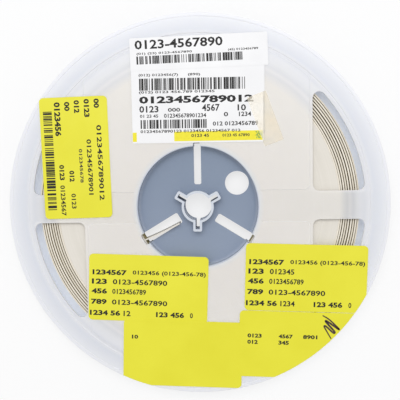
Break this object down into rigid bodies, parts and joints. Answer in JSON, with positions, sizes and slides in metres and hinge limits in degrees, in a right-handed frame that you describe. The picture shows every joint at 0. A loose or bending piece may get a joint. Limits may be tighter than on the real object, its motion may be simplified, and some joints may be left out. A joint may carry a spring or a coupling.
{
  "type": "SMD tape reel",
  "caption": "Flat two-flange plastic reel wound with narrow paper carrier tape for chip resistors, with a keyed arbor bore, windowed front flange and plain labels.",
  "frame": {"origin": "centre of the arbor bore at the rear flange's outer face, on which the reel lies", "axes": "+Z along the reel axis towards the labelled front flange, +Y towards the white labels at the top, +X towards the right of the labels"},
  "size_m": [0.18, 0.18, 0.0116],
  "materials": {
    "reel_front": "milky translucent polystyrene, faintly blue, satin",
    "reel_rear": "milky translucent polystyrene, faintly blue, satin",
    "paper_tape": "cream card tape, cut edges",
    "cover_film": "clear heat-sealed film",
    "chip_body": "black glazed top, tinned ends",
    "white_label": "white printed label, semi-gloss",
    "yellow_label": "yellow printed label, semi-gloss",
    "clear_strip": "aged clear adhesive film"
  },
  "bodies": {
    "root": {"front_half": "reel_front", "rear_half": "reel_rear", "carrier_tape": "paper_tape", "cover_film": "cover_film", "chip_resistors": "chip_body", "white_label_top": "white_label", "white_label_low": "white_label", "yellow_label_left": "yellow_label", "yellow_label_low_left": "yellow_label", "yellow_label_low_mid": "yellow_label", "yellow_label_right": "yellow_label", "yellow_label_low_right": "yellow_label", "clear_strip": "clear_strip"}
  },
  "joints": []
}
